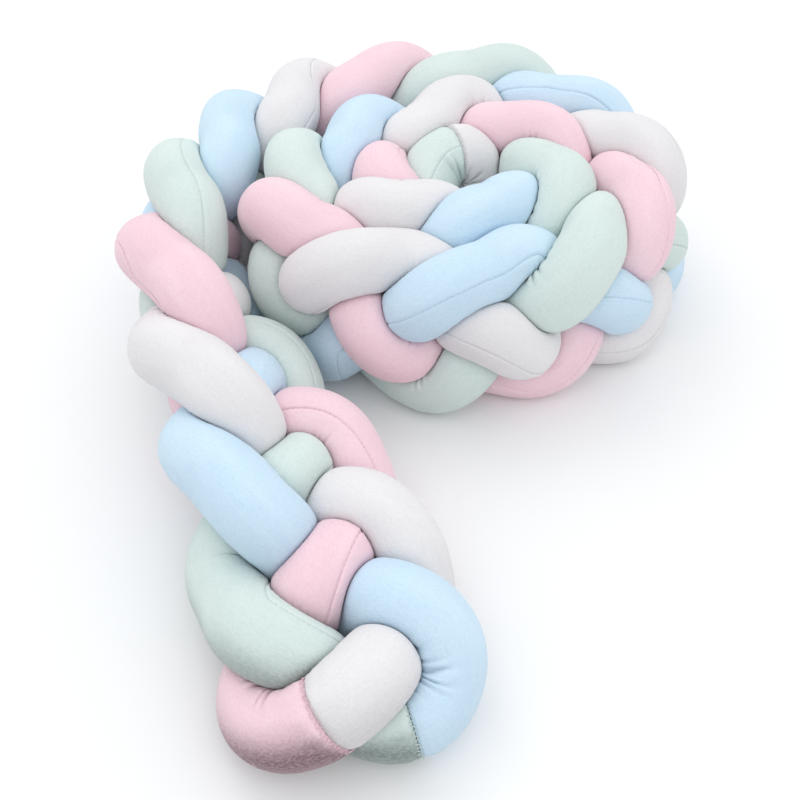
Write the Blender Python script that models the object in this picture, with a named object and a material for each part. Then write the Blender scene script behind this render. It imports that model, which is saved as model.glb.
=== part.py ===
"""Four-strand braided crib bumper, rolled up on the floor with its near end laid out flat.

The bumper is one closed ring of four stuffed velvet tubes, pink, white, mint and blue, sewn end to
end and plaited over and under into a flat band.  The band lies flat at its near end, stands up on
its lower edge as it runs back, and winds inwards for two turns.  Units are metres, +Z is up, the
floor is z = 0, and the origin is the middle of the footprint.
"""
import math

import bmesh
import bpy
import numpy as np

# ---------------------------------------------------------------- driving sizes
STRAND_RADIUS = 0.0358      # of a stuffed tube where nothing presses on it
HALF_THICKNESS = 0.0144     # from the band's middle to a strand's centreline where strands cross
EDGE_TURN = 0.15            # how sharply a strand turns back at the band's edges: 0 is a plain wave
SEAT_HEIGHT = 0.030         # of a strand's centreline where the strand rests on the floor
GAP = 0.0060                # between neighbouring strands, along a ray from a centreline
SEAM_GAP = 0.0006           # between the ends of two strands at a seam
SEAM_DRAWN_IN = 0.93        # of the radius that a tube keeps where it is sewn to the next
SIDES = 12                  # of a tube's section
RING_STEP = 0.0250          # between sections along a tube
FINE_STEP = 0.004           # between the centreline points that the sections are pressed against
SOFTNESS = 9.0              # how sharply a tube turns where it leaves a neighbour: higher is sharper
CENTIMETRE = 0.01

# ---------------------------------------------------------------- how the plait draws tight
SETTLE_STEP = 0.010         # between the centreline points that are moved
SETTLE_ROUNDS = 60
RESPACED_EVERY = 10         # rounds
OWN_STRETCH = 0.10          # of strand, to either side of a point, that never crowds it
CROWDING = 0.0455           # the least distance between two centrelines
CROWDING_SOUGHT = 0.085     # strands nearer than this are watched for crowding
SHOVE = 1.6                 # share of the crowding that each round takes out, before it is eased
STIFFNESS = 0.40            # share of the bend that each round takes out
HOLD = 0.030                # share of the way back to its place in each round

# ---------------------------------------------------------------- the band's route
# One row for each loop along the band's upper edge, from the near end inwards.  x and y place the
# band's middle line, roll is 0 where the band lies flat with its face up and 90 where it stands on
# edge, half is the distance from the middle line to an edge strand's centreline, and lean is how
# far the upper edge is ahead of the middle line.
LOOPS = (
    # x cm,  y cm, roll, half cm, lean cm
    (-3.1, -35.2, -3, 7.6, 2.6),
    (-6.4, -25.8, 4, 8.4, 3.8),
    (-10.8, -16.1, 24, 7.2, 4.2),
    (-16.2, -6.3, 43, 6.3, 3.9),
    (-21.8, 5.6, 63, 6.1, 3.1),
    (-23.8, 17.0, 83, 6.2, 1.5),
    (-19.9, 27.5, 87, 6.3, 0.3),
    (-12.3, 35.1, 87, 6.4, 0.0),
    (-3.1, 40.0, 86, 6.5, 0.0),
    (10.8, 40.8, 86, 6.5, 0.0),
    (20.3, 33.6, 89, 6.4, 0.0),
    (26.5, 25.0, 94, 6.3, 0.2),
    (26.4, 15.3, 98, 6.2, 1.1),
    (20.4, 7.3, 90, 6.4, 0.8),
    (9.1, 2.0, 92, 6.1, 2.2),
    (-2.2, 4.4, 89, 6.1, 2.0),
    (-10.9, 10.8, 87, 6.3, 1.1),
    (-10.7, 19.4, 88, 6.4, 0.2),
    (-5.2, 24.8, 87, 6.4, 0.0),
    (5.2, 31.1, 87, 6.4, 0.0),
    (14.5, 28.3, 88, 6.2, 0.0),
    (17.4, 17.7, 90, 6.2, 0.0),
    (8.5, 11.8, 90, 6.2, 0.0),
    (0.1, 11.5, 89, 6.0, 0.0),
    (-1.5, 17.6, 90, 5.5, 0.0),
    (2.2, 22.7, 90, 5.2, 0.0),
)
KNOTS_PER_ROW = 5           # centreline points that are drawn through
POINTS_PER_KNOT = 12        # of the curve drawn through them
WRAPPED_KNOTS = 8           # drawn again past either end, so that the ring closes smoothly
BAND_ROWS_PER_LOOP = 16     # places where the band's section is worked out
# The strand that makes each loop: row 0 is pink, row 1 mint, row 2 blue, row 3 white, and so on.
ORDER = ("pink", "mint", "blue", "white")
COLOURS = {
    "pink": (0.93, 0.68, 0.76),
    "white": (0.86, 0.84, 0.86),
    "mint": (0.70, 0.86, 0.79),
    "blue": (0.60, 0.79, 0.93),
}

# ---------------------------------------------------------------- the four end loops
# Each strand runs between two seams.  From is the row where it leaves the loop behind it, to is the
# row where it enters the loop ahead.  The loop ahead then follows its own points to the next strand.
STRANDS = (
    # colour, from row, to row, knots of the loop ahead that come before the seam
    ("pink", 24.6, 0.4, 6),
    ("white", 1.2, 25.0, 5),
    ("mint", 25.0, 1.2, 10),
    ("blue", 1.0, 24.6, 1),
)
END_LOOPS = {
    # x cm, y cm, z cm of each knot
    "pink": ((-11.3, -34.0, 3.3), (-11.9, -35.8, 3.2), (-11.2, -37.7, 3.5), (-9.5, -38.9, 4.2),
             (-7.4, -38.8, 5.2), (-5.5, -38.3, 6.2), (-3.8, -37.5, 7.0), (-2.2, -36.2, 7.3),
             (-1.2, -34.3, 6.4), (-0.3, -32.2, 4.8), (1.0, -29.5, 3.5), (1.3, -26.9, 3.2)),
    "white": ((7.9, 24.4, 4.6), (10.0, 25.2, 8.0), (10.2, 25.7, 11.4), (8.9, 25.7, 14.0),
              (5.9, 24.6, 15.3)),
    "mint": ((-15.9, -25.1, 4.2), (-14.7, -27.4, 5.0), (-12.9, -30.0, 5.8), (-11.2, -32.3, 6.2),
             (-9.0, -33.7, 6.0), (-6.8, -34.7, 4.8), (-4.9, -36.0, 3.6), (-2.7, -37.2, 3.2),
             (-0.8, -37.5, 3.2), (0.7, -37.6, 3.2), (2.3, -36.7, 3.4), (3.3, -35.1, 3.8),
             (3.1, -33.4, 4.5), (2.1, -31.8, 5.6), (0.4, -30.8, 6.4), (-1.3, -29.5, 6.4),
             (-2.9, -27.6, 5.0)),
    "blue": (),
}


def spline(rows, t):
    """The natural cubic spline through the rows, read at the row numbers t."""
    rows = np.asarray(rows, float)
    n = len(rows)
    bends = np.zeros_like(rows)
    matrix = 4 * np.eye(n - 2) + np.eye(n - 2, k=1) + np.eye(n - 2, k=-1)
    bends[1:-1] = np.linalg.solve(matrix, 6 * (rows[2:] - 2 * rows[1:-1] + rows[:-2]))
    i = np.clip(np.floor(t).astype(int), 0, n - 2)
    f = (t - i)[:, None]
    g = 1 - f
    return g * rows[i] + f * rows[i + 1] + ((g**3 - g) * bends[i] + (f**3 - f) * bends[i + 1]) / 6


def unit(v):
    return v / np.linalg.norm(v, axis=-1, keepdims=True)


def plait(phase):
    """A strand's place across the band and through it, each from -1 to 1.

    It crosses from edge to edge once in each half turn of phase, and weaves under, over and under
    its three neighbours on the way.
    """
    across = (np.cos(phase) + EDGE_TURN * np.cos(3 * phase)) / (1 + EDGE_TURN)
    through = -1.207 * (np.sin(3 * phase) + 0.1716 * np.sin(phase))
    return across, through


def band(t):
    """The band's middle line at the row numbers t, and the frame and sizes of its section."""
    x, y, roll, half, lean = spline(LOOPS, t).T
    roll = np.radians(roll)
    half = half * CENTIMETRE
    across, through = plait(np.radians(np.arange(0, 360, 5)))
    height = np.outer(half * np.sin(roll), across) + np.outer(HALF_THICKNESS * np.cos(roll), through)
    middle = np.column_stack([x * CENTIMETRE, y * CENTIMETRE, SEAT_HEIGHT + height.max(1)])
    along = unit(np.gradient(middle, t, axis=0))
    left = unit(np.cross([0, 0, 1], along))
    up = np.cross(along, left)
    cos, sin = np.cos(roll)[:, None], np.sin(roll)[:, None]
    edge = (left * cos + up * sin) * half[:, None] + along * (lean * CENTIMETRE)[:, None]
    return middle, edge, (up * cos - left * sin) * HALF_THICKNESS


def read_at(where, places, points):
    """The points read in straight lines between their places."""
    return np.column_stack([np.interp(where, places, points[:, k]) for k in range(3)])


def strand_route(colour, t):
    """The centreline of a strand at the row numbers in t."""
    last = len(LOOPS) - 1
    rows = np.linspace(0, last, BAND_ROWS_PER_LOOP * last + 1)
    middle, edge, face = (read_at(t, rows, values) for values in band(rows))
    across, through = plait((t - ORDER.index(colour)) * math.pi / 2)
    return middle + edge * across[:, None] + face * through[:, None]


def even(points, count):
    """The same open route as a number of points an even step apart."""
    travel = np.concatenate([[0], np.cumsum(np.linalg.norm(np.diff(points, axis=0), axis=1))])
    return read_at(np.linspace(0, travel[-1], count), travel, points)


def length(points):
    return np.linalg.norm(np.diff(points, axis=0), axis=1).sum()


def ring_of_strands():
    """The centreline of each strand from seam to seam, in the order in which they are sewn."""
    knots = []
    seams = []
    for colour, start, stop, before_seam in STRANDS:
        count = round(abs(stop - start) * KNOTS_PER_ROW) + 1
        knots.extend(strand_route(colour, np.linspace(start, stop, count)))
        knots.extend(np.array(END_LOOPS[colour]).reshape(-1, 3) * CENTIMETRE)
        seams.append(len(knots) - len(END_LOOPS[colour]) + before_seam - 1)
    # the ring is drawn through once more than round, so that it is as smooth at its start
    knots = np.array(knots)
    wrapped = np.vstack([knots[-WRAPPED_KNOTS:], knots, knots[:WRAPPED_KNOTS]])
    strands = {}
    for n, colour in enumerate(row[0] for row in STRANDS):
        low, high = seams[n - 1], seams[n]
        if high < low:
            low -= len(knots)
        t = np.linspace(low, high, POINTS_PER_KNOT * (high - low) + 1)
        strands[colour] = spline(wrapped, t + WRAPPED_KNOTS)
    return strands


def settled(strands):
    """The strands with their sharp bends eased, and any that crowd each other pushed apart."""
    counts = {colour: round(length(route) / SETTLE_STEP) + 1 for colour, route in strands.items()}
    strands = {colour: even(route, counts[colour]) for colour, route in strands.items()}
    ring = np.vstack([route[:-1] for route in strands.values()])
    place = ring.copy()
    index = np.arange(len(ring))
    for number in range(SETTLE_ROUNDS):
        if number % RESPACED_EVERY == 0:
            ring = respaced(ring, counts)
            first, second = crowded_pairs(ring, index)
        bend = ring - (np.roll(ring, 1, 0) + np.roll(ring, -1, 0)) / 2
        bend = bend - (np.roll(bend, 1, 0) + np.roll(bend, -1, 0)) / 2
        ring = ring - STIFFNESS * bend + HOLD * (place - ring)
        offset = ring[first] - ring[second]
        distance = np.linalg.norm(offset, axis=1)
        short = np.maximum(CROWDING - distance, 0)
        move = offset * (short / distance / 2)[:, None]
        push = np.column_stack([np.bincount(first, move[:, k], len(ring)) for k in range(3)])
        crowd = np.bincount(first, (short > 0).astype(float), len(ring))
        push = SHOVE * push / np.maximum(crowd, 1)[:, None]
        for _ in range(3):
            push = (np.roll(push, 1, 0) + 2 * push + np.roll(push, -1, 0)) / 4
        ring = ring + push
        ring[:, 2] = np.maximum(ring[:, 2], SEAT_HEIGHT)
    return cut_at_seams(ring, counts)


def cut_at_seams(ring, counts):
    """The ring's strands, each with the point that it shares with the next."""
    strands = {}
    low = 0
    for colour, count in counts.items():
        strands[colour] = np.vstack([ring[low:low + count - 1], ring[(low + count - 1) % len(ring)]])
        low += count - 1
    return strands


def respaced(ring, counts):
    """The ring with each strand's points an even step apart again."""
    pieces = []
    for colour, route in cut_at_seams(ring, counts).items():
        fine = spline(route, np.linspace(0, len(route) - 1, 8 * len(route)))
        pieces.append(even(fine, counts[colour])[:-1])
    return np.vstack(pieces)


def crowded_pairs(ring, index):
    """The places in the ring of every two points that could crowd each other."""
    apart = np.abs(index[:, None] - index)
    apart = np.minimum(apart, len(ring) - apart) * SETTLE_STEP
    squares = (ring**2).sum(1)
    distance = squares[:, None] + squares - 2 * ring @ ring.T
    return np.nonzero((distance < CROWDING_SOUGHT**2) & (apart > OWN_STRETCH))


def frames(along):
    """Two unit vectors across a route at each point, which turn as little as they can."""
    side = np.zeros_like(along)
    side[0] = unit(np.cross(along[0], [0, 0, 1]))
    for i in range(1, len(along)):
        side[i] = unit(side[i - 1] - along[i] * side[i - 1].dot(along[i]))
    return side, np.cross(along, side)


def pressed_radii(centres, directions, everything, gap=GAP, softness=SOFTNESS):
    """How far a tube reaches along each direction from each centre.

    A tube is round where it is free.  Where a neighbour lies closer than that, the two meet halfway
    between their centrelines, and at the floor the tube lies flat.  everything holds every strand's
    centreline points, with the strand's number in the last column.
    """
    reach = 2 * STRAND_RADIUS
    radii = np.empty(directions.shape[:2])
    for i, centre in enumerate(centres):
        offsets = everything[:, :3] - centre
        distance = np.linalg.norm(offsets, axis=1)
        near = (distance < reach) & (distance > FINE_STEP * 1.5)
        offsets, distance, strand = offsets[near], distance[near], everything[near, 3]
        facing = directions[i] @ offsets.T
        limit = distance**2 / (2 * np.maximum(facing, 1e-6))
        total = np.full(len(directions[i]), STRAND_RADIUS ** -softness)
        for number in np.unique(strand):
            total += limit[:, strand == number].min(1) ** -softness
        pressed = total ** (-1 / softness) - gap / 2
        floor = centre[2] / np.maximum(-directions[i][:, 2], 1e-6)
        radii[i] = np.minimum(pressed, floor)
    return radii


def sections(colour, routes, sides, step):
    """The rings of points of one tube, each pressed against what lies next to it."""
    everything = np.vstack([np.column_stack([r, np.full(len(r), n)]) for n, r in enumerate(routes.values())])
    order = list(routes)
    place = order.index(colour)
    route = routes[colour]
    before = routes[order[place - 1]][-2]
    after = routes[order[(place + 1) % len(order)]][1]
    stations = even(route, round(length(route) / step) + 1)
    along = unit(np.gradient(stations, axis=0))
    along[0] = unit(route[1] - before)
    along[-1] = unit(after - route[-2])
    side, over = frames(along)
    angles = np.arange(sides) * 2 * math.pi / sides
    directions = np.cos(angles)[:, None] * side[:, None] + np.sin(angles)[:, None] * over[:, None]
    radii = pressed_radii(stations, directions, everything)
    radii[[0, -1]] *= SEAM_DRAWN_IN
    stations[0] += along[0] * SEAM_GAP / 2
    stations[-1] -= along[-1] * SEAM_GAP / 2
    return stations[:, None] + directions * radii[:, :, None]


def loft(name, rings):
    """One closed solid through the rings, with flat ends."""
    mesh = bpy.data.meshes.new(name)
    shape = bmesh.new()
    loops = [[shape.verts.new(point) for point in ring] for ring in rings]
    for low, high in zip(loops, loops[1:]):
        for i, corner in enumerate(low):
            shape.faces.new((low[i - 1], corner, high[i], high[i - 1]))
    shape.faces.new(loops[0][::-1])
    shape.faces.new(loops[-1])
    bmesh.ops.recalc_face_normals(shape, faces=shape.faces)
    shape.to_mesh(mesh)
    shape.free()
    mesh.shade_smooth()
    return bpy.data.objects.new(name, mesh)


def fabric(colour):
    """Soft matt velvet in one of the four colours."""
    material = bpy.data.materials.new("velvet_" + colour)
    material.use_nodes = True
    shader = material.node_tree.nodes["Principled BSDF"]
    shader.inputs["Base Color"].default_value = (*COLOURS[colour], 1)
    shader.inputs["Roughness"].default_value = 0.9
    shader.inputs["Metallic"].default_value = 0
    return material


def fine_routes():
    """The settled centrelines, at FINE_STEP, in the order in which they are sewn."""
    strands = settled(ring_of_strands())
    routes = {}
    for colour, route in strands.items():
        smooth = spline(route, np.linspace(0, len(route) - 1, 4 * len(route)))
        routes[colour] = even(smooth, round(length(smooth) / FINE_STEP) + 1)
    return routes


def main():
    for old in list(bpy.data.objects):
        bpy.data.objects.remove(old)
    collection = bpy.data.collections.new("crib_bumper")
    bpy.context.scene.collection.children.link(collection)
    routes = fine_routes()
    tubes = {colour: sections(colour, routes, SIDES, RING_STEP) for colour in routes}
    points = np.vstack([rings.reshape(-1, 3) for rings in tubes.values()])
    centre = (points.min(0) + points.max(0)) / 2 * (1, 1, 0)
    for colour, rings in tubes.items():
        tube = loft("strand_" + colour, rings - centre)
        tube.data.materials.append(fabric(colour))
        collection.objects.link(tube)


if __name__ == "__main__":
    main()
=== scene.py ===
"""Four-strand braided velvet crib bumper, rolled up on a pale studio floor.

The strands follow the same tables and functions as the solids that they replace.  The first half of
the script repeats those, in metres.  The second half makes the cloth: tubes pressed against each
other, with gathers on their tight bends, a sewn seam along each, and stitched joins between colours.
"""

import math

import bpy
import numpy as np
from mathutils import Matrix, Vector


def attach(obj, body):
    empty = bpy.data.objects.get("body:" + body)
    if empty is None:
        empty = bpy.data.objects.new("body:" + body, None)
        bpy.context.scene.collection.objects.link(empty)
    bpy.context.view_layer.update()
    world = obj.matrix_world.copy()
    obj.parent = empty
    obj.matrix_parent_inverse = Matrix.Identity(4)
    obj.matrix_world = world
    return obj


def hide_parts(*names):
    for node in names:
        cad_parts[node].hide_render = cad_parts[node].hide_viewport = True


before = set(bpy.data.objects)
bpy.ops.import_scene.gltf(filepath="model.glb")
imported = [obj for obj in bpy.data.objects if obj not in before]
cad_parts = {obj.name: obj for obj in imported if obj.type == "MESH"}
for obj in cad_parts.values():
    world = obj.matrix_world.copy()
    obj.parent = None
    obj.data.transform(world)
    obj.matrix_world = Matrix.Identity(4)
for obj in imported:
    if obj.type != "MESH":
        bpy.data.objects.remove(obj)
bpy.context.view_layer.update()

# ---------------------------------------------------------------- driving sizes
STRAND_RADIUS = 0.0358      # of a stuffed tube where nothing presses on it
HALF_THICKNESS = 0.0144     # from the band's middle to a strand's centreline where strands cross
EDGE_TURN = 0.15            # how sharply a strand turns back at the band's edges: 0 is a plain wave
SEAT_HEIGHT = 0.030         # of a strand's centreline where the strand rests on the floor
GAP = 0.0060                # between neighbouring strands, along a ray from a centreline
SEAM_GAP = 0.0006           # between the ends of two strands at a seam
SEAM_DRAWN_IN = 0.93        # of the radius that a tube keeps where it is sewn to the next
SIDES = 12                  # of a tube's section
RING_STEP = 0.0250          # between sections along a tube
FINE_STEP = 0.004           # between the centreline points that the sections are pressed against
SOFTNESS = 9.0              # how sharply a tube turns where it leaves a neighbour: higher is sharper
CENTIMETRE = 0.01
OWN_POINT = 1.5 * FINE_STEP     # a centreline point nearer to a ring than this is the ring's own
TINY = 1e-6                     # stands in for divisors that are not above 0
WEAVE = 1.207                   # puts strands HALF_THICKNESS from the middle where they cross
WEAVE_PLAIN = 0.1716            # share of a plain wave, which makes all crossings equally deep

# ---------------------------------------------------------------- how the plait draws tight
SETTLE_STEP = 0.010         # between the centreline points that are moved
SETTLE_ROUNDS = 60
RESPACED_EVERY = 10         # rounds
RESPACED_POINTS = 8         # of the smooth curve, for each point that is respaced along it
SMOOTH_POINTS = 4           # the same, for each settled point
PUSH_EASED = 3              # times that each round's push is spread over its neighbours
OWN_STRETCH = 0.10          # of strand, to either side of a point, that never crowds it
CROWDING = 0.0455           # the least distance between two centrelines
CROWDING_SOUGHT = 0.085     # strands nearer than this are watched for crowding
SHOVE = 1.6                 # share of the crowding that each round takes out, before it is eased
STIFFNESS = 0.40            # share of the bend that each round takes out
HOLD = 0.030                # share of the way back to its place in each round

# ---------------------------------------------------------------- the band's route
# One row for each loop along the band's upper edge, from the near end inwards.  x and y place the
# band's middle line, roll is 0 where the band lies flat with its face up and 90 where it stands on
# edge, half is the distance from the middle line to an edge strand's centreline, and lean is how
# far the upper edge is ahead of the middle line.
LOOPS = (
    # x cm,  y cm, roll, half cm, lean cm
    (-3.1, -35.2, -3, 7.6, 2.6),
    (-6.4, -25.8, 4, 8.4, 3.8),
    (-10.8, -16.1, 24, 7.2, 4.2),
    (-16.2, -6.3, 43, 6.3, 3.9),
    (-21.8, 5.6, 63, 6.1, 3.1),
    (-23.8, 17.0, 83, 6.2, 1.5),
    (-19.9, 27.5, 87, 6.3, 0.3),
    (-12.3, 35.1, 87, 6.4, 0.0),
    (-3.1, 40.0, 86, 6.5, 0.0),
    (10.8, 40.8, 86, 6.5, 0.0),
    (20.3, 33.6, 89, 6.4, 0.0),
    (26.5, 25.0, 94, 6.3, 0.2),
    (26.4, 15.3, 98, 6.2, 1.1),
    (20.4, 7.3, 90, 6.4, 0.8),
    (9.1, 2.0, 92, 6.1, 2.2),
    (-2.2, 4.4, 89, 6.1, 2.0),
    (-10.9, 10.8, 87, 6.3, 1.1),
    (-10.7, 19.4, 88, 6.4, 0.2),
    (-5.2, 24.8, 87, 6.4, 0.0),
    (5.2, 31.1, 87, 6.4, 0.0),
    (14.5, 28.3, 88, 6.2, 0.0),
    (17.4, 17.7, 90, 6.2, 0.0),
    (8.5, 11.8, 90, 6.2, 0.0),
    (0.1, 11.5, 89, 6.0, 0.0),
    (-1.5, 17.6, 90, 5.5, 0.0),
    (2.2, 22.7, 90, 5.2, 0.0),
)
KNOTS_PER_ROW = 5           # centreline points that are drawn through
POINTS_PER_KNOT = 12        # of the curve drawn through them
WRAPPED_KNOTS = 8           # drawn again past either end, so that the ring closes smoothly
BAND_ROWS_PER_LOOP = 16     # places where the band's section is worked out
# The strand that makes each loop: row 0 is pink, row 1 mint, row 2 blue, row 3 white, and so on.
ORDER = ("pink", "mint", "blue", "white")

# ---------------------------------------------------------------- the four end loops
# Each strand runs between two seams.  From is the row where it leaves the loop behind it, to is the
# row where it enters the loop ahead.  The loop ahead then follows its own points to the next strand.
STRANDS = (
    # colour, from row, to row, knots of the loop ahead that come before the seam
    ("pink", 24.6, 0.4, 6),
    ("white", 1.2, 25.0, 5),
    ("mint", 25.0, 1.2, 10),
    ("blue", 1.0, 24.6, 1),
)
END_LOOPS = {
    # x cm, y cm, z cm of each knot
    "pink": ((-11.3, -34.0, 3.3), (-11.9, -35.8, 3.2), (-11.2, -37.7, 3.5), (-9.5, -38.9, 4.2),
             (-7.4, -38.8, 5.2), (-5.5, -38.3, 6.2), (-3.8, -37.5, 7.0), (-2.2, -36.2, 7.3),
             (-1.2, -34.3, 6.4), (-0.3, -32.2, 4.8), (1.0, -29.5, 3.5), (1.3, -26.9, 3.2)),
    "white": ((7.9, 24.4, 4.6), (10.0, 25.2, 8.0), (10.2, 25.7, 11.4), (8.9, 25.7, 14.0),
              (5.9, 24.6, 15.3)),
    "mint": ((-15.9, -25.1, 4.2), (-14.7, -27.4, 5.0), (-12.9, -30.0, 5.8), (-11.2, -32.3, 6.2),
             (-9.0, -33.7, 6.0), (-6.8, -34.7, 4.8), (-4.9, -36.0, 3.6), (-2.7, -37.2, 3.2),
             (-0.8, -37.5, 3.2), (0.7, -37.6, 3.2), (2.3, -36.7, 3.4), (3.3, -35.1, 3.8),
             (3.1, -33.4, 4.5), (2.1, -31.8, 5.6), (0.4, -30.8, 6.4), (-1.3, -29.5, 6.4),
             (-2.9, -27.6, 5.0)),
    "blue": (),
}


def spline(rows, t):
    """The natural cubic spline through the rows, read at the row numbers t."""
    rows = np.asarray(rows, float)
    n = len(rows)
    bends = np.zeros_like(rows)
    matrix = 4 * np.eye(n - 2) + np.eye(n - 2, k=1) + np.eye(n - 2, k=-1)
    bends[1:-1] = np.linalg.solve(matrix, 6 * (rows[2:] - 2 * rows[1:-1] + rows[:-2]))
    i = np.clip(np.floor(t).astype(int), 0, n - 2)
    f = (t - i)[:, None]
    g = 1 - f
    return g * rows[i] + f * rows[i + 1] + ((g**3 - g) * bends[i] + (f**3 - f) * bends[i + 1]) / 6


def unit(v):
    return v / np.linalg.norm(v, axis=-1, keepdims=True)


def plait(phase):
    """A strand's place across the band, from -1 to 1, and through it.

    The second is 1 or -1 where strands cross, and goes a little further on the way.  The strand runs
    from edge to edge in each half turn of phase.  It weaves under, over and under the other three,
    and over, under and over them on its way back.
    """
    across = (np.cos(phase) + EDGE_TURN * np.cos(3 * phase)) / (1 + EDGE_TURN)
    through = -WEAVE * (np.sin(3 * phase) + WEAVE_PLAIN * np.sin(phase))
    return across, through


def band(t):
    """The band's middle line at the row numbers t, and the frame and sizes of its section."""
    x, y, roll, half, lean = spline(LOOPS, t).T
    roll = np.radians(roll)
    half = half * CENTIMETRE
    whole_turn = np.radians(np.arange(0, 360, 5))
    across, through = plait(whole_turn)
    height = np.outer(half * np.sin(roll), across) + np.outer(HALF_THICKNESS * np.cos(roll), through)
    middle = np.column_stack([x * CENTIMETRE, y * CENTIMETRE, SEAT_HEIGHT + height.max(1)])
    along = unit(np.gradient(middle, t, axis=0))
    left = unit(np.cross([0, 0, 1], along))
    up = np.cross(along, left)
    cos, sin = np.cos(roll)[:, None], np.sin(roll)[:, None]
    edge = (left * cos + up * sin) * half[:, None] + along * (lean * CENTIMETRE)[:, None]
    return middle, edge, (up * cos - left * sin) * HALF_THICKNESS


def read_at(where, places, points):
    """The points read in straight lines between their places."""
    return np.column_stack([np.interp(where, places, points[:, k]) for k in range(3)])


def strand_route(colour, t):
    """The centreline of a strand at the row numbers in t."""
    last = len(LOOPS) - 1
    rows = np.linspace(0, last, BAND_ROWS_PER_LOOP * last + 1)
    middle, edge, face = (read_at(t, rows, values) for values in band(rows))
    across, through = plait((t - ORDER.index(colour)) * math.pi / 2)
    return middle + edge * across[:, None] + face * through[:, None]


def even(points, count):
    """The same open route as a number of points an even step apart."""
    travel = np.concatenate([[0], np.cumsum(np.linalg.norm(np.diff(points, axis=0), axis=1))])
    return read_at(np.linspace(0, travel[-1], count), travel, points)


def length(points):
    return np.linalg.norm(np.diff(points, axis=0), axis=1).sum()


def ring_of_strands():
    """The centreline of each strand from seam to seam, in the order in which they are sewn."""
    knots = []
    seams = []
    for colour, start, stop, before_seam in STRANDS:
        count = round(abs(stop - start) * KNOTS_PER_ROW) + 1
        knots.extend(strand_route(colour, np.linspace(start, stop, count)))
        knots.extend(np.array(END_LOOPS[colour]).reshape(-1, 3) * CENTIMETRE)
        seams.append(len(knots) - len(END_LOOPS[colour]) + before_seam - 1)
    # the ring is drawn through once more than round, so that it is as smooth at its start
    knots = np.array(knots)
    wrapped = np.vstack([knots[-WRAPPED_KNOTS:], knots, knots[:WRAPPED_KNOTS]])
    strands = {}
    for n, colour in enumerate(row[0] for row in STRANDS):
        low, high = seams[n - 1], seams[n]
        if high < low:
            low -= len(knots)
        t = np.linspace(low, high, POINTS_PER_KNOT * (high - low) + 1)
        strands[colour] = spline(wrapped, t + WRAPPED_KNOTS)
    return strands


def settled(strands):
    """The strands with their sharp bends eased, and any that crowd each other pushed apart."""
    counts = {colour: round(length(route) / SETTLE_STEP) + 1 for colour, route in strands.items()}
    strands = {colour: even(route, counts[colour]) for colour, route in strands.items()}
    ring = np.vstack([route[:-1] for route in strands.values()])
    place = ring.copy()
    index = np.arange(len(ring))
    for number in range(SETTLE_ROUNDS):
        if number % RESPACED_EVERY == 0:
            ring = respaced(ring, counts)
            first, second = crowded_pairs(ring, index)
        bend = ring - (np.roll(ring, 1, 0) + np.roll(ring, -1, 0)) / 2
        bend = bend - (np.roll(bend, 1, 0) + np.roll(bend, -1, 0)) / 2
        ring = ring - STIFFNESS * bend + HOLD * (place - ring)
        offset = ring[first] - ring[second]
        distance = np.linalg.norm(offset, axis=1)
        short = np.maximum(CROWDING - distance, 0)
        move = offset * (short / distance / 2)[:, None]
        push = np.column_stack([np.bincount(first, move[:, k], len(ring)) for k in range(3)])
        crowd = np.bincount(first, (short > 0).astype(float), len(ring))
        push = SHOVE * push / np.maximum(crowd, 1)[:, None]
        for _ in range(PUSH_EASED):
            push = (np.roll(push, 1, 0) + 2 * push + np.roll(push, -1, 0)) / 4
        ring = ring + push
        ring[:, 2] = np.maximum(ring[:, 2], SEAT_HEIGHT)
    return cut_at_seams(ring, counts)


def cut_at_seams(ring, counts):
    """The ring's strands, each with the point that it shares with the next."""
    strands = {}
    low = 0
    for colour, count in counts.items():
        strands[colour] = np.vstack([ring[low:low + count - 1], ring[(low + count - 1) % len(ring)]])
        low += count - 1
    return strands


def respaced(ring, counts):
    """The ring with each strand's points an even step apart again."""
    pieces = []
    for colour, route in cut_at_seams(ring, counts).items():
        fine = spline(route, np.linspace(0, len(route) - 1, RESPACED_POINTS * len(route)))
        pieces.append(even(fine, counts[colour])[:-1])
    return np.vstack(pieces)


def crowded_pairs(ring, index):
    """The places in the ring of every two points that could crowd each other."""
    apart = np.abs(index[:, None] - index)
    apart = np.minimum(apart, len(ring) - apart) * SETTLE_STEP
    squares = (ring**2).sum(1)
    distance = squares[:, None] + squares - 2 * ring @ ring.T
    return np.nonzero((distance < CROWDING_SOUGHT**2) & (apart > OWN_STRETCH))


def frames(along):
    """Two unit vectors across a route at each point, which turn as little as they can."""
    side = np.zeros_like(along)
    side[0] = unit(np.cross(along[0], [0, 0, 1]))
    for i in range(1, len(along)):
        side[i] = unit(side[i - 1] - along[i] * side[i - 1].dot(along[i]))
    return side, np.cross(along, side)


def pressed_radii(centres, directions, everything, gap=GAP, softness=SOFTNESS):
    """How far a tube reaches along each direction from each centre.

    A tube is round where it is free.  Where a neighbour lies closer than that, the two meet halfway
    between their centrelines, and at the floor the tube lies flat.  everything holds every strand's
    centreline points, with the strand's number in the last column.
    """
    reach = 2 * STRAND_RADIUS
    radii = np.empty(directions.shape[:2])
    for i, centre in enumerate(centres):
        offsets = everything[:, :3] - centre
        distance = np.linalg.norm(offsets, axis=1)
        near = (distance < reach) & (distance > OWN_POINT)
        offsets, distance, strand = offsets[near], distance[near], everything[near, 3]
        facing = directions[i] @ offsets.T
        limit = distance**2 / (2 * np.maximum(facing, TINY))
        total = np.full(len(directions[i]), STRAND_RADIUS ** -softness)
        for number in np.unique(strand):
            total += limit[:, strand == number].min(1) ** -softness
        pressed = total ** (-1 / softness) - gap / 2
        floor = centre[2] / np.maximum(-directions[i][:, 2], TINY)
        radii[i] = np.minimum(pressed, floor)
    return radii


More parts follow.
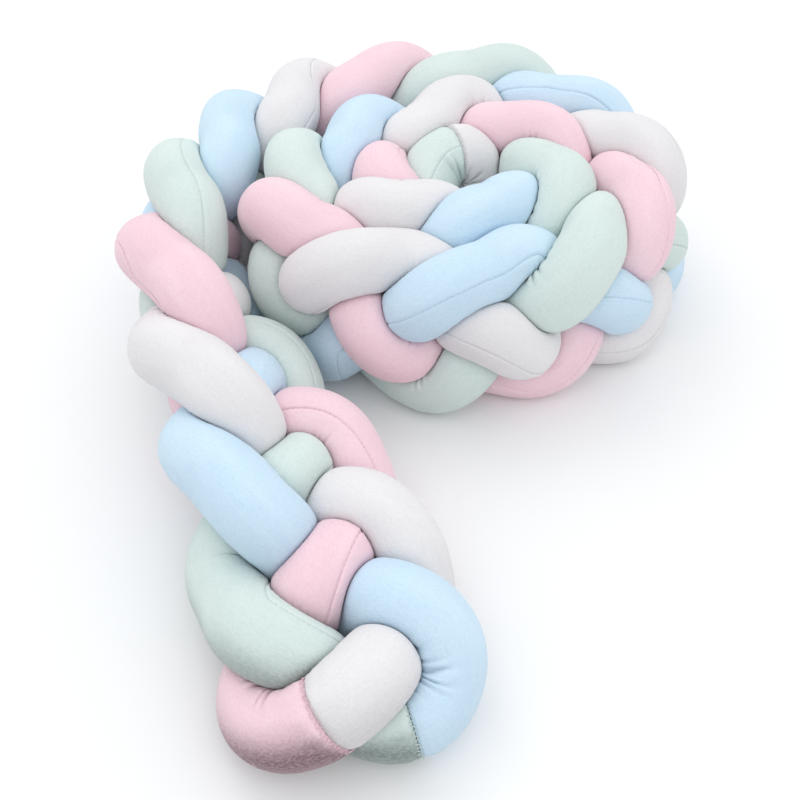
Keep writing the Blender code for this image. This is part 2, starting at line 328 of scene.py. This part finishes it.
def numbered(routes):
    """Every strand's centreline points, with the strand's number in the last column."""
    return np.vstack([np.column_stack([r, np.full(len(r), n)]) for n, r in enumerate(routes.values())])


def face_neighbours(along, colour, routes):
    """Turns the directions at a tube's two ends to match those of the tubes that it is sewn to."""
    order = list(routes)
    place = order.index(colour)
    route = routes[colour]
    along[0] = unit(route[1] - routes[order[place - 1]][-2])
    along[-1] = unit(routes[order[(place + 1) % len(order)]][1] - route[-2])


def sections(colour, routes, sides, step):
    """The rings of points of one tube, each pressed against what lies next to it."""
    route = routes[colour]
    stations = even(route, round(length(route) / step) + 1)
    along = unit(np.gradient(stations, axis=0))
    face_neighbours(along, colour, routes)
    side, over = frames(along)
    angles = np.arange(sides) * 2 * math.pi / sides
    directions = np.cos(angles)[:, None] * side[:, None] + np.sin(angles)[:, None] * over[:, None]
    radii = pressed_radii(stations, directions, numbered(routes))
    radii[[0, -1]] *= SEAM_DRAWN_IN
    stations[0] += along[0] * SEAM_GAP / 2
    stations[-1] -= along[-1] * SEAM_GAP / 2
    return stations[:, None] + directions * radii[:, :, None]


def fine_routes():
    """The settled centrelines, at FINE_STEP, in the order in which they are sewn."""
    strands = settled(ring_of_strands())
    routes = {}
    for colour, route in strands.items():
        smooth = spline(route, np.linspace(0, len(route) - 1, SMOOTH_POINTS * len(route)))
        routes[colour] = even(smooth, round(length(smooth) / FINE_STEP) + 1)
    return routes


# ================================================================ the cloth
CLOTH_GAP = 0.0006              # between two tubes that press on each other
CLOTH_SOFTNESS = 24.0           # how sharply the cloth turns where it leaves a neighbour
PLAIN_STEP = 0.0052      # between rings where the tube is nearly straight
BENT_STEP = 0.0023       # between rings where it is gathered
SPREAD_FACETS = 46           # round a ring, apart from those beside the seam
SEAM_OFFSETS = (0.9, 1.9, 3.4, 5.6)           # degrees from the side seam to the facets beside it
STEADY_BEND = 11.0              # bends gentler than this, in one over metres, need no closer rings
TIGHT_BEND = 19.0               # bends sharper than this have the closest rings
BEND_EASED = 8                  # times that the bends are drawn towards those beside them
CLOSE_REACH = 4                 # centreline points past a tight bend that still have close rings
CLOSE_EASED = 6                 # times that the closeness of the rings is eased along the tube
RADII_EASED = 3                 # times that each ring's radii are drawn towards those beside it

# Gathers.  How far the cloth lies to the inside of its bend, and the radius of the free tube, are
# taken as shares of the bend's radius: gathers start at the first share and are full at the second.
INSIDE = (-0.12, 0.46)
SHARP = (0.34, 0.72)
GATHER_DEPTH = 0.0050           # of the deepest gathers
GATHER_PITCH = 0.0140           # between gathers, at the centreline
GATHER_ROUND = 0.75             # the power of a sine that shapes each ridge: lower is fuller
GATHER_DRAWN_IN = 0.68          # share of their depth by which gathers draw the tube in
WANDER = ((0.9, 0.020), (0.6, 0.035))         # radians that the gathers stray, and over what length
WANDER_TURNED = 1               # radians round the tube by which the first of these is turned
DEPTH_MEAN = 0.85               # share of the full depth
DEPTH_CHANGE = (0.30, 0.016)    # of the gathers' depth, and over what length
DEPTH_LIMITS = (0.1, 1.3)
FOLD_SHADE_SHARPNESS = 2              # the power that keeps the painted shade of a fold to its bottom

# Lumps of the filling
LUMPS = (0.00045, 0.038)        # their height, and over what length
LUMPS_ROUND = 1.3               # features of the unevenness in one radian round the tube
LUMPS_HELD = 0.6                # share of the lumps that a neighbour presses flat
HELD_FROM = (0.001, 0.006)      # how far in the cloth is pressed where that starts, and is full

# The side seam: a groove with a low ridge on both its sides
GROOVE = (0.0009, 0.0010)       # depth and width
WELT = (0.00035, 0.0032, 0.0014)              # height, distance from the seam and width

# The joins between tubes: puckers beside a deep groove
PUCKERS = (0.0011, 0.006, 0.009)              # height, distance from the join and width
PUCKERS_ROUND = 9               # half the number of them round a tube
PUCKERS_WANDER = (2.2, 0.030)   # radians that they stray, and over what length
PUCKERS_MEAN = 0.6              # taken off, so that they go in as well as out
JOIN_GROOVE = (0.0030, 0.0022)  # depth and width

# The first seeds of the unevenness of each kind.  Each tube adds its own number.
WANDER_SEEDS = (10, 20)
DEPTH_SEED = 30
LUMPS_SEED = 40
PUCKERS_SEED = 50

# Stitches
STITCH_PITCH = 0.0036
STITCH_LENGTH = 0.0024
STITCH_RADIUS = 0.00042
STITCH_RAISED = 0.0001          # above the bottom of the side seam's groove
STITCH_SIDES = 5
STITCH_FULL = 0.55              # share of a stitch's half length where it is full
CLEAR_OF_FLOOR = 2 * STITCH_RADIUS            # lower stitches are left out
JOIN_PITCH = 0.0042             # between the stitches across a join, round the tube
JOIN_STITCH = 0.0062            # length of those
JOIN_SUNK = 0.0008              # into the cloth
JOIN_SLANT = 0.45               # to either side in turn
JOIN_RING = -4                  # a ring near the far join, but clear of its groove

# The map of a cloth: its length in rows side by side, each with a margin
ROWS = 4
MAP_END = 0.998                 # share of the rows, end to end, that is used
MAP_LEFT = 0.005
MAP_WIDTH = 0.96
MAP_LOW = 0.03                  # of a row's height
MAP_HEIGHT = 0.94

# Unevenness is a sum of sines.
WAVES = 9
WAVE_PITCHES = (2.2, 5.2)       # radians in one unit, of the slowest wave and the fastest

# Where the side seam runs on each tube: share of the tube's length, then degrees round it.
SIDE_SEAM = {
    "pink": ((0.0, 300), (0.35, 280), (0.376, 283), (0.386, 225), (0.43, 268), (0.472, 270), (0.485, 240),
             (0.60, 290), (0.805, 340), (0.811, 372), (0.827, 372), (0.87, 310), (0.885, 304),
             (0.906, 287), (0.94, 284), (0.953, 247), (1.0, 235)),
    "white": ((0.0, 90), (0.25, 60), (0.274, 45), (0.291, -20), (0.35, 0), (1.0, 60)),
    "mint": ((0.0, 230), (0.02, 230), (0.88, 120), (0.925, 50), (0.95, 56), (0.963, 106),
             (0.975, 100), (1.0, 95)),
    "blue": ((0.0, 90), (0.40, 105), (0.417, 78), (0.433, 90), (0.53, 70), (0.544, 54), (0.556, 25),
             (0.575, 74), (0.596, 66), (0.608, 80), (0.639, 70), (0.645, 5), (1.0, 30)),
}

# How deep the gathers are along each tube: share of the tube's length, then share of the full depth.
GATHERED = {
    "pink": ((0.0, 1.0), (1.0, 1.0)),
    "white": ((0.0, 1.0), (1.0, 1.0)),
    "mint": ((0.0, 1.0), (0.915, 1.0), (0.925, 0.12), (0.955, 0.12), (0.965, 1.0), (1.0, 1.0)),
    "blue": ((0.0, 0.9), (0.05, 0.9), (0.06, 1.0), (1.0, 1.0)),
}

# Painted shade on the sides that face -y and down, strongest at the near end: share of the tube's length,
# then share of the full painted shade.
PAINTED_UNDERSIDE_SHADE = {
    "pink": ((0.0, 0.03), (0.945, 0.03), (0.965, 1.0), (1.0, 1.0)),
    "white": ((0.0, 0.28), (0.04, 0.28), (0.06, 0.03), (1.0, 0.03)),
    "mint": ((0.0, 0.03), (0.905, 0.03), (0.925, 0.6), (0.965, 0.6), (0.978, 0.85), (1.0, 0.85)),
    "blue": ((0.0, 0.12), (0.05, 0.12), (0.06, 0.03), (1.0, 0.03)),
}


def waves(u, v, seed):
    """Smooth unevenness over u and v, mostly from -1 to 1, with features about one unit wide."""
    random = np.random.default_rng(seed)
    turn = random.uniform(0, 2 * math.pi, WAVES)
    pitch = random.uniform(*WAVE_PITCHES, WAVES)
    start = random.uniform(0, 2 * math.pi, WAVES)
    total = sum(np.sin(p * (np.cos(a) * u + np.sin(a) * v) + s) for a, p, s in zip(turn, pitch, start))
    return total / math.sqrt(WAVES)


def eased(values, times):
    """The rows of values, each drawn towards the rows beside it."""
    for _ in range(times):
        middle = (values[:-2] + 2 * values[1:-1] + values[2:]) / 4
        values = np.concatenate([values[:1], middle, values[-1:]])
    return values


def stepped(values, low, high):
    """0 below low, 1 above high, and smooth in between."""
    share = np.clip((values - low) / (high - low), 0, 1)
    return share * share * (3 - 2 * share)


def read_along(table, share):
    """The table's values at shares of a tube's length, read in straight lines between its rows."""
    return np.interp(share, *np.array(table, float).T)


def hump(distance, middle, width):
    """1 at the middle, and smoothly less to either side of it."""
    return np.exp(-((distance - middle) / width) ** 2)


def stations_of(route):
    """Places along a tube, closer together on its tight bends.

    Returns the travel from the tube's start, the points and the bends.  Each bend points to the
    inside and is one over the bend's radius long.
    """
    step = length(route) / (len(route) - 1)
    ahead = unit(np.gradient(route, axis=0))
    bend = eased(np.gradient(ahead, step, axis=0), BEND_EASED)
    tight = stepped(np.linalg.norm(bend, axis=1), STEADY_BEND, TIGHT_BEND)
    tight = np.maximum.reduce([np.roll(tight, k) for k in range(-CLOSE_REACH, CLOSE_REACH + 1)])
    tight = eased(tight, CLOSE_EASED)
    spacing = PLAIN_STEP + (BENT_STEP - PLAIN_STEP) * tight
    count_to = np.concatenate([[0], np.cumsum(step * (1 / spacing[1:] + 1 / spacing[:-1]) / 2)])
    travel = np.arange(len(route)) * step
    where = np.interp(np.linspace(0, count_to[-1], round(count_to[-1]) + 1), count_to, travel)
    return where, spline(route, where / step), read_at(where, travel, bend)


def gathers(colour, number, travel, spin, tight, sharp):
    """How far the gathers move the cloth out, how much it is gathered, and how much painted shade lies in
    the bottoms of its folds.
    """
    held = read_along(GATHERED[colour], travel / travel[-1])[:, None]
    pinch = held * stepped(tight, *INSIDE) * stepped(sharp, *SHARP)
    s = travel[:, None] + 0 * spin
    (stray, over), (stray_more, over_more) = WANDER
    phase = math.pi * s / GATHER_PITCH
    phase = phase + stray * waves(s / over, np.cos(spin - WANDER_TURNED), WANDER_SEEDS[0] + number)
    phase = phase + stray_more * waves(s / over_more, np.sin(spin), WANDER_SEEDS[1] + number)
    change, over = DEPTH_CHANGE
    depth = DEPTH_MEAN + change * waves(s / over, np.cos(spin), DEPTH_SEED + number)
    ridge = np.abs(np.sin(phase))
    gathered = pinch * np.clip(depth, *DEPTH_LIMITS)
    out = GATHER_DEPTH * gathered * (ridge ** GATHER_ROUND - GATHER_DRAWN_IN)
    return out, pinch, gathered * (1 - ridge) ** FOLD_SHADE_SHARPNESS


def lumps(number, travel, spin, radii):
    """How far the filling moves the cloth out, less where a neighbour presses on it."""
    height, over = LUMPS
    loose = 1 - LUMPS_HELD * stepped(STRAND_RADIUS - radii, *HELD_FROM)
    return height * loose * waves(travel[:, None] / over, spin * LUMPS_ROUND, LUMPS_SEED + number)


def side_seam(spin, radii):
    """How far the side seam moves the cloth out."""
    aside = np.minimum(spin, 2 * math.pi - spin) * radii
    depth, width = GROOVE
    height, middle, spread = WELT
    return height * hump(aside, middle, spread) - depth * hump(aside, 0, width)


def joins(number, travel, spin):
    """How far the puckers and the grooves at a tube's two ends move the cloth out."""
    to_join = np.minimum(travel, travel[-1] - travel)[:, None]
    height, middle, spread = PUCKERS
    stray, over = PUCKERS_WANDER
    strayed = stray * waves(spin, travel[:, None] / over, PUCKERS_SEED + number)
    pucker = np.abs(np.sin(spin * PUCKERS_ROUND + strayed)) - PUCKERS_MEAN
    depth, width = JOIN_GROOVE
    return height * hump(to_join, middle, spread) * pucker - depth * np.exp(-to_join / width)


def tube(colour, routes):
    """The rings of points of one tube's cloth, and the figures that its stitches and finish need."""
    number = list(routes).index(colour)
    travel, points, bend = stations_of(routes[colour])
    along = unit(np.gradient(points, travel, axis=0))
    face_neighbours(along, colour, routes)
    side, over = frames(along)
    share = travel / travel[-1]
    near = np.array(SEAM_OFFSETS)
    spread = np.linspace(near[-1], 360 - near[-1], SPREAD_FACETS)
    # the facets are closer together beside the side seam, which is at 0
    offsets = np.radians(np.concatenate([[0], near[:-1], spread, 360 - near[-2::-1]]))
    angles = np.radians(read_along(SIDE_SEAM[colour], share))[:, None] + offsets
    directions = np.cos(angles)[..., None] * side[:, None] + np.sin(angles)[..., None] * over[:, None]
    radii = pressed_radii(points, directions, numbered(routes), CLOTH_GAP, CLOTH_SOFTNESS)
    radii = eased(radii, RADII_EASED)
    spin = np.broadcast_to(offsets, radii.shape)
    tight = (directions * bend[:, None]).sum(2) * radii
    sharp = np.linalg.norm(bend, axis=1)[:, None] * STRAND_RADIUS
    out, pinch, painted_fold_shade = gathers(colour, number, travel, spin, tight, sharp)
    radii = radii + out
    radii = radii + lumps(number, travel, spin, radii)
    radii = radii + side_seam(spin, radii)
    radii = radii + joins(number, travel, spin)
    floor = points[:, None, 2] / np.maximum(-directions[..., 2], TINY)
    radii = np.minimum(radii, floor)
    points[0] += along[0] * SEAM_GAP / 2
    points[-1] -= along[-1] * SEAM_GAP / 2
    return {
        "rings": points[:, None] + directions * radii[..., None],
        "travel": travel,
        "spin": offsets,
        "pinch": pinch,
        "painted_fold_shade": painted_fold_shade,
        # how much painted shade each ring gets on its front and lower sides
        "nap_and_painted_shade": read_along(PAINTED_UNDERSIDE_SHADE[colour], share)[:, None] + 0 * spin,
        "directions": directions,
        "along": along,
        "points": points,
        "radii": radii,
    }


def faces_between(rings, sides):
    """The corners of each face of a tube with this many rings."""
    low = np.arange(rings - 1)[:, None] * sides + np.arange(sides)
    high = low + sides
    return np.stack([low, np.roll(low, -1, 1), np.roll(high, -1, 1), high], 2).reshape(-1, 4)


def mesh_object(name, points, faces):
    """An object from points and faces of any number of corners."""
    mesh = bpy.data.meshes.new(name)
    mesh.from_pydata(points.tolist(), [], faces)
    mesh.shade_smooth()
    thing = bpy.data.objects.new(name, mesh)
    bpy.context.scene.collection.objects.link(thing)
    return thing


def cloth_object(name, made):
    """The mesh of a tube, with its places along and round the cloth, and a map of equal scale."""
    rings = made["rings"]
    count, sides = rings.shape[:2]
    faces = faces_between(count, sides)
    ends = [np.arange(sides)[::-1].tolist(), (np.arange(sides) + (count - 1) * sides).tolist()]
    thing = mesh_object(name, rings.reshape(-1, 3), faces.tolist() + ends)
    mesh = thing.data
    cloth = np.zeros((count, sides, 3))
    cloth[..., 0] = made["travel"][:, None]
    cloth[..., 1] = made["spin"] * STRAND_RADIUS
    mesh.attributes.new("cloth", "FLOAT_VECTOR", "POINT").data.foreach_set("vector", cloth.ravel())
    # the second and third of these carry painted shade: in the bottoms of the folds, and on the front and
    # lower sides
    for kind in ("pinch", "painted_fold_shade", "nap_and_painted_shade"):
        mesh.attributes.new(kind, "FLOAT", "POINT").data.foreach_set("value", made[kind].ravel())
    layer = mesh.uv_layers.new(name="OFBake")
    u = np.repeat(made["travel"], sides)[faces] / made["travel"][-1] * ROWS * MAP_END
    row = np.floor(u.min(1))[:, None]
    spin = np.concatenate([made["spin"], [2 * math.pi]])
    j = np.arange(len(faces)) % sides
    v = np.stack([spin[j], spin[j + 1], spin[j + 1], spin[j]], 1) / (2 * math.pi)
    place = np.stack([(u - row) * MAP_WIDTH + MAP_LEFT, (row + MAP_LOW + MAP_HEIGHT * v) / ROWS], 2)
    # the two end faces are hidden in the joins, so all their corners share one point of the map
    rim = np.full((2 * sides, 2), 0.5 / ROWS)
    layer.data.foreach_set("uv", np.concatenate([place.reshape(-1, 2), rim]).ravel())
    return thing


def stitches(name, places, ways, ups, stitch_length):
    """Short rounded threads at the given places, each lying along its way."""
    spin = np.arange(STITCH_SIDES) * 2 * math.pi / STITCH_SIDES
    across = np.cross(ups, ways)
    rim = np.cos(spin)[:, None] * across[:, None] + np.sin(spin)[:, None] * ups[:, None]
    rim = rim * STITCH_RADIUS
    middle = places[:, None]
    half = (ways * stitch_length / 2)[:, None]
    full = half * STITCH_FULL
    points = np.concatenate([middle - half, middle - full + rim, middle + full + rim, middle + half], 1)
    first_rim = 1
    second_rim = 1 + STITCH_SIDES
    tip = 1 + 2 * STITCH_SIDES
    pattern = []
    for i in range(STITCH_SIDES):
        j = (i + 1) % STITCH_SIDES
        pattern.append((0, first_rim + j, first_rim + i))
        pattern.append((first_rim + i, first_rim + j, second_rim + j, second_rim + i))
        pattern.append((second_rim + i, second_rim + j, tip))
    faces = [tuple(n * (tip + 1) + k for k in f) for n in range(len(places)) for f in pattern]
    return mesh_object(name, points.reshape(-1, 3), faces)


def side_stitches(colour, made):
    """A running stitch in the groove of the tube's side seam."""
    travel = made["travel"]
    up = made["directions"][:, 0]
    line = made["rings"][:, 0] + up * STITCH_RAISED
    way = unit(np.gradient(line, travel, axis=0))
    places = np.arange(STITCH_PITCH, travel[-1] - STITCH_PITCH, STITCH_PITCH)
    places = places[np.interp(places, travel, line[:, 2]) > CLEAR_OF_FLOOR]
    ways = unit(read_at(places, travel, way))
    ups = read_at(places, travel, up)
    ups = unit(ups - ways * (ups * ways).sum(1)[:, None])
    return stitches("side_seam_" + colour, read_at(places, travel, line), ways, ups, STITCH_LENGTH)


def join_stitches(colour, after, made):
    """Overlocked threads across the join at the far end of a tube, in the tube's own colour."""
    count = round(2 * math.pi * STRAND_RADIUS / JOIN_PITCH)
    spin = np.arange(count) * 2 * math.pi / count
    wrapped = np.concatenate([made["spin"], [2 * math.pi]])
    ring = np.concatenate([made["directions"][-1], made["directions"][-1][:1]])
    radius = np.concatenate([made["radii"][JOIN_RING], made["radii"][JOIN_RING][:1]])
    ahead = made["along"][-1]
    ups = unit(read_at(spin, wrapped, ring))
    ups = unit(ups - ahead * (ups @ ahead)[:, None])
    slant = np.where(np.arange(count) % 2, JOIN_SLANT, -JOIN_SLANT)[:, None]
    ways = unit(ahead + np.cross(ahead, ups) * slant)
    reach = np.interp(spin, wrapped, radius) - JOIN_SUNK
    places = made["points"][-1] + ups * reach[:, None]
    above = places[:, 2] > CLEAR_OF_FLOOR
    name = "join_" + colour + "_" + after
    return stitches(name, places[above], ways[above], ups[above], JOIN_STITCH)


# ---------------------------------------------------------------- finishes
VELVET = {
    # colour: lit by the pile, brushed the other way, deep in the pile, which the folds and the front and
    # lower sides also take as painted shade
    "pink": ((0.905, 0.675, 0.735), (0.84, 0.58, 0.65), (0.52, 0.31, 0.37)),
    "white": ((0.81, 0.79, 0.80), (0.74, 0.72, 0.735), (0.47, 0.45, 0.475)),
    "mint": ((0.69, 0.785, 0.755), (0.60, 0.70, 0.67), (0.34, 0.44, 0.41)),
    "blue": ((0.63, 0.79, 0.91), (0.54, 0.71, 0.86), (0.31, 0.45, 0.59)),
}
UNEVEN = {
    # features in one metre, detail, roughness, and what the first is multiplied by along the tube,
    # round it and through it
    "patches": (16, 4, 0.62, (0.6, 1.2, 1)),
    "strokes": (95, 3, 0.6, (0.35, 1.3, 1)),
    "mottle": (400, 3, 0.65, (1, 1, 1)),
    "grain": (1500, 2, 0.6, (1, 1, 1)),
    "creases": (210, 3, 0.55, (1.0, 0.10, 1)),
}
TWIST = (900, 1, 0.5, (1, 1, 1))              # the same figures, for thread
# Each range runs from the first value to the second, and gives the third to the fourth.
BRUSHED_BY = {
    "patches": (0.36, 0.66, 0, 0.45),
    "strokes": (0.4, 0.66, 0, 0.12),
    "mottle": (0.42, 0.70, 0, 0.42),
}
GRAIN_DEEP = (0.50, 0.80, 0, 0.30)
# painted shade in the bottoms of the folds, as a share of the deep colour
FOLD_PAINTED_SHADE = (0.05, 0.75, 0, 0.55)
# painted shade on the front and lower sides: where it runs by the normal, how the mottle specks it, and
# how dark it gets
PAINTED_SHADE_SIDE = (-0.85, 0.62, 1, 0)            # of the normal's y and z together: low is in front and below
PAINTED_SHADE_SPECKLE = (0.35, 0.62, 0.78, 1)
PAINTED_SHADE_SHARE = 0.34            # of the deep colour, in the painted shade on the front and lower sides
ROUGHNESS = (0.3, 0.7, 0.78, 0.95)
TWIST_DEEP = (0.35, 0.65, 0, 0.5)
RELIEF = (("creases", 2.6), ("mottle", 1.5), ("grain", 0.6), ("strokes", 0.25))
RELIEF_DEPTH = 0.0009
RELIEF_STRENGTH = 0.55
PLAIN_SETTINGS = {
    "Specular IOR Level": 0.18,
    "Sheen Weight": 0.45,
    "Sheen Roughness": 0.38,
}
SHEEN_PALENESS = 0.5            # share of white in the sheen's colour
THREAD_ROUGHNESS = 0.7
# The sockets of a Mix node that hold colours
MIX_COLOURS = slice(6, 8)
MIX_RESULT = 2


def nodes_of(material):
    """A new material's tree, which is its nodes and its links, and its shader."""
    material.use_nodes = True
    nodes = material.node_tree.nodes
    return (nodes, material.node_tree.links), nodes["Principled BSDF"]


def attribute(tree, name, output):
    """What the mesh stores under this name."""
    node = tree[0].new("ShaderNodeAttribute")
    node.attribute_name = name
    return node.outputs[output]


def uneven(tree, vector, scale, detail, roughness, stretch):
    """The value of a noise at the places that the vector gives."""
    nodes, links = tree
    mapping = nodes.new("ShaderNodeMapping")
    mapping.inputs["Scale"].default_value = stretch
    links.new(vector, mapping.inputs["Vector"])
    noise = nodes.new("ShaderNodeTexNoise")
    noise.inputs["Scale"].default_value = scale
    noise.inputs["Detail"].default_value = detail
    noise.inputs["Roughness"].default_value = roughness
    links.new(mapping.outputs["Vector"], noise.inputs["Vector"])
    return noise.outputs["Fac"]


def ranged(tree, value, low, high, to_low, to_high):
    """The value taken from one range to another, smoothly."""
    nodes, links = tree
    ramp = nodes.new("ShaderNodeMapRange")
    ramp.interpolation_type = "SMOOTHSTEP"
    for name, number in (("From Min", low), ("From Max", high), ("To Min", to_low), ("To Max", to_high)):
        ramp.inputs[name].default_value = number
    links.new(value, ramp.inputs["Value"])
    return ramp.outputs["Result"]


def join_up(tree, sockets, values, plain):
    """Links each socket to its value, or sets it where the value is of the plain type."""
    for socket, value in zip(sockets, values):
        if isinstance(value, plain):
            socket.default_value = value
        else:
            tree[1].new(value, socket)


def combined(tree, operation, first, second):
    """Two values added or multiplied."""
    node = tree[0].new("ShaderNodeMath")
    node.operation = operation
    join_up(tree, node.inputs, (first, second), (int, float))
    return node.outputs["Value"]


def mixed(tree, share, first, second):
    """Between two colours, by a share."""
    node = tree[0].new("ShaderNodeMix")
    node.data_type = "RGBA"
    tree[1].new(share, node.inputs["Factor"])
    join_up(tree, node.inputs[MIX_COLOURS], (first, second), tuple)
    return node.outputs[MIX_RESULT]


def opaque(colour):
    return (*colour, 1)


def velvet(colour):
    """Short-pile velvet: brushed patches, a fine grain, a soft sheen, creases on the bends, and painted
    shade in the folds and on the front and lower sides.
    """
    lit, brushed, deep_pile_and_shade = VELVET[colour]
    material = bpy.data.materials.new("velvet_" + colour)
    tree, shader = nodes_of(material)
    nodes, links = tree
    where = attribute(tree, "cloth", "Vector")
    noises = {name: uneven(tree, where, *figures) for name, figures in UNEVEN.items()}

    # the colour: how the pile is brushed, then specks of deeper pile, then painted shade in the folds
    # between gathers
    turned = [ranged(tree, noises[name], *span) for name, span in BRUSHED_BY.items()]
    nap_and_painted_shade = combined(tree, "ADD", combined(tree, "ADD", turned[0], turned[1]), turned[2])
    base = mixed(tree, nap_and_painted_shade, opaque(lit), opaque(brushed))
    base = mixed(tree, ranged(tree, noises["grain"], *GRAIN_DEEP), base, opaque(deep_pile_and_shade))
    painted_fold_shade = attribute(tree, "painted_fold_shade", "Fac")
    base = mixed(tree, ranged(tree, painted_fold_shade, *FOLD_PAINTED_SHADE), base, opaque(deep_pile_and_shade))

    # painted shade on the front and lower sides: darker where the normal points to -y and down, by each
    # tube's share along its length
    facing = nodes.new("ShaderNodeSeparateXYZ")
    links.new(nodes.new("ShaderNodeTexCoord").outputs["Normal"], facing.inputs["Vector"])
    under = combined(tree, "ADD", facing.outputs["Y"], facing.outputs["Z"])
    under = ranged(tree, under, *PAINTED_SHADE_SIDE)
    under = combined(tree, "MULTIPLY", under, attribute(tree, "nap_and_painted_shade", "Fac"))
    under = combined(tree, "MULTIPLY", under, ranged(tree, noises["mottle"], *PAINTED_SHADE_SPECKLE))
    base = mixed(tree, under, base, opaque(PAINTED_SHADE_SHARE * v for v in deep_pile_and_shade))
    links.new(base, shader.inputs["Base Color"])
    links.new(ranged(tree, noises["mottle"], *ROUGHNESS), shader.inputs["Roughness"])
    for name, value in PLAIN_SETTINGS.items():
        shader.inputs[name].default_value = value
    pale = [SHEEN_PALENESS + (1 - SHEEN_PALENESS) * v for v in lit]
    shader.inputs["Sheen Tint"].default_value = opaque(pale)

    # the relief, with creases only where the cloth is gathered
    pinch = attribute(tree, "pinch", "Fac")
    noises["creases"] = combined(tree, "MULTIPLY", noises["creases"], pinch)
    parts = [combined(tree, "MULTIPLY", noises[name], share) for name, share in RELIEF]
    height = parts[0]
    for part in parts[1:]:
        height = combined(tree, "ADD", height, part)
    bump = nodes.new("ShaderNodeBump")
    bump.inputs["Strength"].default_value = RELIEF_STRENGTH
    bump.inputs["Distance"].default_value = RELIEF_DEPTH
    links.new(height, bump.inputs["Height"])
    links.new(bump.outputs["Normal"], shader.inputs["Normal"])
    return material


def thread(colour):
    """Matt sewing thread, a little deeper in colour than its cloth."""
    brushed, deep_pile_and_shade = VELVET[colour][1:]
    material = bpy.data.materials.new("thread_" + colour)
    tree, shader = nodes_of(material)
    nodes, links = tree
    place = nodes.new("ShaderNodeTexCoord").outputs["Object"]
    twist = ranged(tree, uneven(tree, place, *TWIST), *TWIST_DEEP)
    links.new(mixed(tree, twist, opaque(brushed), opaque(deep_pile_and_shade)), shader.inputs["Base Color"])
    shader.inputs["Roughness"].default_value = THREAD_ROUGHNESS
    return material


# ---------------------------------------------------------------- the object
routes = fine_routes()
# The frame's origin is in the middle of the solids' footprint, so that is where the cloth is moved.
corners = np.vstack([sections(colour, routes, SIDES, RING_STEP).reshape(-1, 3) for colour in routes])
centre = (corners.min(0) + corners.max(0)) / 2 * (1, 1, 0)
tubes = {colour: tube(colour, routes) for colour in routes}
order = list(tubes)
for place, (colour, made) in enumerate(tubes.items()):
    made["rings"] = made["rings"] - centre
    made["points"] = made["points"] - centre
    cloth = cloth_object("cloth_" + colour, made)
    cloth.data.materials.append(velvet(colour))
    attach(cloth, "root")
    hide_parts("strand_" + colour)
    after = order[(place + 1) % len(order)]
    yarn = thread(colour)
    for sewn in (side_stitches(colour, made), join_stitches(colour, after, made)):
        sewn.data.materials.append(yarn)
        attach(sewn, "root")

# ---------------------------------------------------------------- the studio
FLOOR_REACH = 30                # from the middle to each side
PAPER = (0.88, 0.88, 0.885)
PAPER_SETTINGS = {"Roughness": 0.8, "Specular IOR Level": 0.1}
SKY = (0.975, 0.99, 1.0)
# The light of the sky is the sum of two parts, by the direction's z and by its y.  Each runs from
# the first value to the second, and gives the third to the fourth.
SKY_BY_HEIGHT = (-0.1, 0.6, 0.0, 0.64)
SKY_BY_DEPTH = (-0.9, 0.9, 0.42, 0.60)
LAMPS = (
    # name, place, what it is aimed at, width, watts
    ("key", (-0.8, 1.0, 1.9), (0, 0.05, 0), 1.3, 5.5),
    ("fill", (0.9, -1.2, 1.4), (0, 0, 0), 1.6, 3),
)
SENSOR = 36                     # mm, the width of the camera's sensor
IMAGE_WIDTH = 800               # pixels
FOCAL_LENGTH = 950              # pixels
DOWN = math.radians(48)         # the camera looks down by this much
AWAY = 1.05                     # from the camera to the point of the floor that it looks at


def placed(name, data, place, turn):
    """An object of this data in the scene."""
    thing = bpy.data.objects.new(name, data)
    thing.location = place
    thing.rotation_euler = turn
    bpy.context.scene.collection.objects.link(thing)
    return thing


floor_corners = [(-FLOOR_REACH, -FLOOR_REACH, 0), (FLOOR_REACH, -FLOOR_REACH, 0),
                 (FLOOR_REACH, FLOOR_REACH, 0), (-FLOOR_REACH, FLOOR_REACH, 0)]
floor = mesh_object("floor", np.array(floor_corners, float), [(0, 1, 2, 3)])
paper = bpy.data.materials.new("paper")
shader = nodes_of(paper)[1]
shader.inputs["Base Color"].default_value = opaque(PAPER)
for name, value in PAPER_SETTINGS.items():
    shader.inputs[name].default_value = value
floor.data.materials.append(paper)

world = bpy.data.worlds.new("studio")
world.use_nodes = True
tree = world.node_tree.nodes, world.node_tree.links
nodes, links = tree
sky = nodes["Background"]
way = nodes.new("ShaderNodeSeparateXYZ")
links.new(nodes.new("ShaderNodeTexCoord").outputs["Generated"], way.inputs["Vector"])
by_height = ranged(tree, way.outputs["Z"], *SKY_BY_HEIGHT)
by_depth = ranged(tree, way.outputs["Y"], *SKY_BY_DEPTH)
sky.inputs["Color"].default_value = opaque(SKY)
links.new(combined(tree, "ADD", by_height, by_depth), sky.inputs["Strength"])
bpy.context.scene.world = world
bpy.context.scene.view_settings.view_transform = "Standard"

for name, place, aim, width, watts in LAMPS:
    light = bpy.data.lights.new(name, "AREA")
    light.shape = "DISK"
    light.size = width
    light.energy = watts
    turn = (Vector(aim) - Vector(place)).to_track_quat("-Z", "Y").to_euler()
    placed(name, light, place, turn)

camera = bpy.data.cameras.new("camera")
camera.sensor_width = SENSOR
camera.lens = FOCAL_LENGTH / IMAGE_WIDTH * SENSOR
stand = (-centre[0], -centre[1] - AWAY * math.cos(DOWN), AWAY * math.sin(DOWN))
bpy.context.scene.camera = placed("camera", camera, stand, (math.pi / 2 - DOWN, 0, 0))
